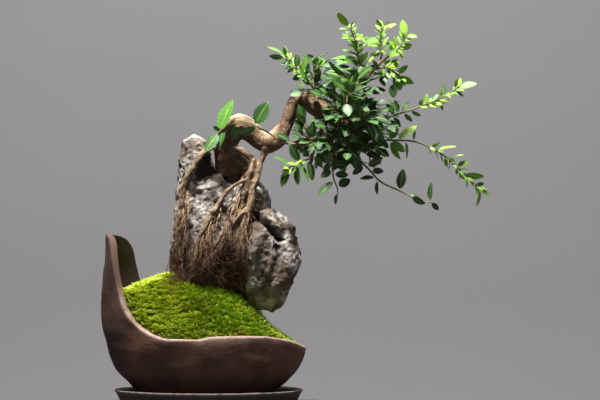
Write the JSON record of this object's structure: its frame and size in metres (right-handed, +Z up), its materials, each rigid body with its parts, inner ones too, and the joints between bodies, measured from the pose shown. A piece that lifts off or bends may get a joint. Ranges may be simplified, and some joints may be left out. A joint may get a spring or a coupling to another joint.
{
  "type": "chinese elm bonsai",
  "caption": "Chinese elm bonsai trained root-over-rock, leaning out over a mossy mound in a winged clay pot on an oval saucer.",
  "frame": {"origin": "centre of the saucer's flat underside", "axes": "+Z up, the front of the tree seen along +Y, the tree leaning out towards +X, the pot's tall wing at -X"},
  "size_m": [0.3502, 0.1202, 0.3528],
  "materials": {
    "saucer_clay": "matt",
    "pot_clay": "matt",
    "soil": "rough",
    "moss": "soft",
    "limestone": "rough",
    "bark": "rough",
    "leaf_mature": "satin",
    "leaf_young": "satin"
  },
  "bodies": {
    "root": {"saucer": "saucer_clay", "pot": "pot_clay", "soil": "soil", "moss": "moss", "rock": "limestone", "trunk_and_roots": "bark", "spray_upper_left": "leaf_mature", "spray_stub": "leaf_mature", "spray_long_leaf": "leaf_mature", "spray_top": "leaf_young", "spray_crown_tip": "leaf_young", "spray_crown_side": "leaf_young", "spray_upright": "leaf_young", "spray_right": "leaf_mature", "spray_right_low": "leaf_young", "spray_lower": "leaf_mature", "spray_hanging": "leaf_mature", "spray_left_low": "leaf_mature", "spray_left_mid": "leaf_mature", "spray_over_trunk": "leaf_mature", "spray_front_high": "leaf_mature", "spray_front_middle": "leaf_mature", "spray_front_low": "leaf_mature", "spray_back_high": "leaf_mature", "spray_back_middle": "leaf_mature", "spray_back_low": "leaf_mature"}
  },
  "joints": []
}
